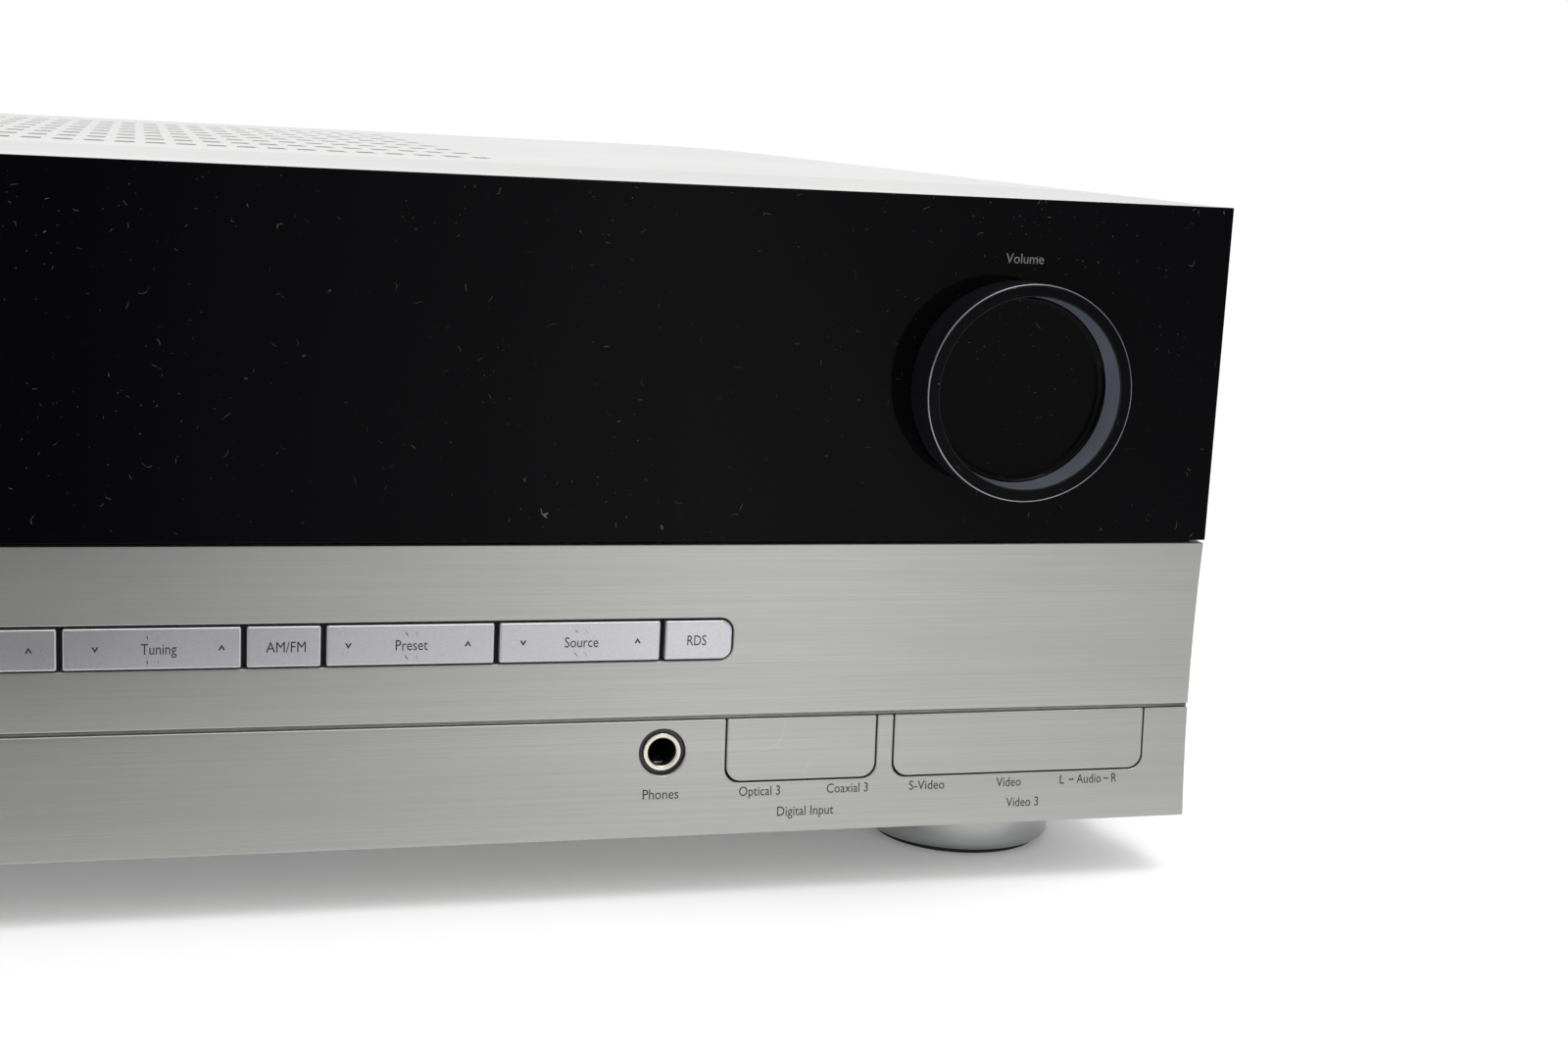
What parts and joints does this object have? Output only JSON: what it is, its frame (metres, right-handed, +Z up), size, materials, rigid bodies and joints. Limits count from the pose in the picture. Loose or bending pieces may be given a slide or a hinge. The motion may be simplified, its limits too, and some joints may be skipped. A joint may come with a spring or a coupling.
{
  "type": "audio video receiver",
  "caption": "Mains audio and video receiver: gloss black upper panel, silver bands, dished volume knob, key row, pull-off socket covers, folded steel case.",
  "frame": {"origin": "on the surface it stands on, under the middle of its overall width and depth", "axes": "+X to the right as seen from the front, +Y to the rear, +Z up"},
  "size_m": [0.44, 0.385, 0.1675],
  "materials": {
    "black_moulding": "satin",
    "gloss_black": "gloss",
    "silver_band": "brushed along the width",
    "key_silver": "satin metallic",
    "knob_black": "gloss with satin side",
    "steel": "bright",
    "glass_tube": "clear",
    "board": "solder mask",
    "black_parts": "satin",
    "nickel": "plated",
    "gold": "plated",
    "yellow_insert": "satin",
    "white_insert": "satin",
    "zinc_sheet": "zinc plated",
    "rear_paint": "fine texture",
    "cover_paint": "light silver, fine texture",
    "foot_silver": "metallised",
    "pad_black": "matt",
    "lamination": "varnished",
    "winding": "enamelled, taped",
    "heat_aluminium": "mill finish",
    "can_black": "sleeved",
    "red_parts": "gloss"
  },
  "bodies": {
    "case": {"front_frame": "black_moulding", "upper_panel": "gloss_black", "upper_band": "silver_band", "lower_band": "silver_band", "power_switch": "black_parts", "encoder_body": "steel", "display_tube": "glass_tube", "front_boards": "board", "key_switches": "black_parts", "phones_ring": "nickel", "phones_body": "black_parts", "front_rca_shells": "gold", "front_rca_inserts": "yellow_insert", "front_jack_bodies": "black_parts", "base_pan": "zinc_sheet", "rear_panel": "rear_paint", "top_cover": "cover_paint", "feet": "foot_silver", "foot_pads": "pad_black", "screws": "steel", "standoffs": "gold", "transformer_core": "lamination", "transformer_coil": "winding", "heat_sink": "heat_aluminium", "power_transistors": "black_parts", "filter_capacitors": "can_black", "main_boards": "board", "tuner_can": "steel", "rear_rca_shells": "gold", "rear_rca_inserts": "white_insert", "rear_jack_bodies": "black_parts", "fm_socket": "steel", "am_terminal": "black_parts", "speaker_block": "black_parts", "speaker_studs": "gold", "mains_inlet": "black_parts", "inlet_pins": "steel", "inner_cables": "black_parts"},
    "volume": {"volume_knob": "knob_black", "encoder_shaft": "steel"},
    "digital_cover": {"digital_cover": "silver_band"},
    "av_cover": {"av_cover": "silver_band"},
    "power_button": {"power_button": "key_silver"},
    "key_surround": {"key_surround": "key_silver"},
    "key_mode": {"key_mode": "key_silver"},
    "key_tuning": {"key_tuning": "key_silver"},
    "key_band": {"key_band": "key_silver"},
    "key_preset": {"key_preset": "key_silver"},
    "key_source": {"key_source": "key_silver"},
    "key_rds": {"key_rds": "key_silver"},
    "am_lever_left": {"am_lever_left": "red_parts"},
    "am_lever_right": {"am_lever_right": "black_parts"},
    "cap_a_left_red": {"cap_a_left_red": "red_parts"},
    "cap_a_left_black": {"cap_a_left_black": "black_parts"},
    "cap_a_right_red": {"cap_a_right_red": "red_parts"},
    "cap_a_right_black": {"cap_a_right_black": "black_parts"},
    "cap_b_left_red": {"cap_b_left_red": "red_parts"},
    "cap_b_left_black": {"cap_b_left_black": "black_parts"},
    "cap_b_right_red": {"cap_b_right_red": "red_parts"},
    "cap_b_right_black": {"cap_b_right_black": "black_parts"}
  },
  "joints": [
    {"name": "volume_turn", "type": "hinge", "parent": "case", "child": "volume", "pos_m": [0.166, -0.1795, 0.1214], "axis": [0, 1, 0], "continuous": true},
    {"name": "key_mode_rock", "type": "hinge", "parent": "case", "child": "key_mode", "pos_m": [-0.06485, -0.17, 0.0614], "axis": [0, 0, 1], "range_deg": [-1.7, 1.7], "stiffness_Nm_per_rad": 0.2},
    {"name": "key_tuning_rock", "type": "hinge", "parent": "case", "child": "key_tuning", "pos_m": [-0.02675, -0.17, 0.0614], "axis": [0, 0, 1], "range_deg": [-1.7, 1.7], "stiffness_Nm_per_rad": 0.2},
    {"name": "key_preset_rock", "type": "hinge", "parent": "case", "child": "key_preset", "pos_m": [0.02835, -0.17, 0.0614], "axis": [0, 0, 1], "range_deg": [-1.7, 1.7], "stiffness_Nm_per_rad": 0.2},
    {"name": "key_source_rock", "type": "hinge", "parent": "case", "child": "key_source", "pos_m": [0.06645, -0.17, 0.0614], "axis": [0, 0, 1], "range_deg": [-1.7, 1.7], "stiffness_Nm_per_rad": 0.2},
    {"name": "key_surround_push", "type": "slide", "parent": "case", "child": "key_surround", "axis": [0, 1, 0], "range_m": [0, 0.0006], "stiffness_N_per_m": 800},
    {"name": "key_band_push", "type": "slide", "parent": "case", "child": "key_band", "axis": [0, 1, 0], "range_m": [0, 0.0006], "stiffness_N_per_m": 800},
    {"name": "key_rds_push", "type": "slide", "parent": "case", "child": "key_rds", "axis": [0, 1, 0], "range_m": [0, 0.0006], "stiffness_N_per_m": 800},
    {"name": "power_push", "type": "slide", "parent": "case", "child": "power_button", "axis": [0, 1, 0], "range_m": [0, 0.003]},
    {"name": "digital_cover_pull", "type": "slide", "parent": "case", "child": "digital_cover", "axis": [0, -1, 0], "range_m": [0, 0.06]},
    {"name": "av_cover_pull", "type": "slide", "parent": "case", "child": "av_cover", "axis": [0, -1, 0], "range_m": [0, 0.06]},
    {"name": "am_lever_left_press", "type": "hinge", "parent": "case", "child": "am_lever_left", "pos_m": [0.18, 0.1705, 0.087], "axis": [1, 0, 0], "range_deg": [0, 18], "stiffness_Nm_per_rad": 0.02},
    {"name": "am_lever_right_press", "type": "hinge", "parent": "case", "child": "am_lever_right", "pos_m": [0.19, 0.1705, 0.087], "axis": [1, 0, 0], "range_deg": [0, 18], "stiffness_Nm_per_rad": 0.02},
    {"name": "cap_a_left_red_turn", "type": "hinge", "parent": "case", "child": "cap_a_left_red", "pos_m": [-0.134, 0.1825, 0.066], "axis": [0, 1, 0], "range_deg": [0, 720]},
    {"name": "cap_a_left_black_turn", "type": "hinge", "parent": "case", "child": "cap_a_left_black", "pos_m": [-0.134, 0.1825, 0.047], "axis": [0, 1, 0], "range_deg": [0, 720]},
    {"name": "cap_a_right_red_turn", "type": "hinge", "parent": "case", "child": "cap_a_right_red", "pos_m": [-0.108, 0.1825, 0.066], "axis": [0, 1, 0], "range_deg": [0, 720]},
    {"name": "cap_a_right_black_turn", "type": "hinge", "parent": "case", "child": "cap_a_right_black", "pos_m": [-0.108, 0.1825, 0.047], "axis": [0, 1, 0], "range_deg": [0, 720]},
    {"name": "cap_b_left_red_turn", "type": "hinge", "parent": "case", "child": "cap_b_left_red", "pos_m": [-0.082, 0.1825, 0.066], "axis": [0, 1, 0], "range_deg": [0, 720]},
    {"name": "cap_b_left_black_turn", "type": "hinge", "parent": "case", "child": "cap_b_left_black", "pos_m": [-0.082, 0.1825, 0.047], "axis": [0, 1, 0], "range_deg": [0, 720]},
    {"name": "cap_b_right_red_turn", "type": "hinge", "parent": "case", "child": "cap_b_right_red", "pos_m": [-0.056, 0.1825, 0.066], "axis": [0, 1, 0], "range_deg": [0, 720]},
    {"name": "cap_b_right_black_turn", "type": "hinge", "parent": "case", "child": "cap_b_right_black", "pos_m": [-0.056, 0.1825, 0.047], "axis": [0, 1, 0], "range_deg": [0, 720]}
  ]
}
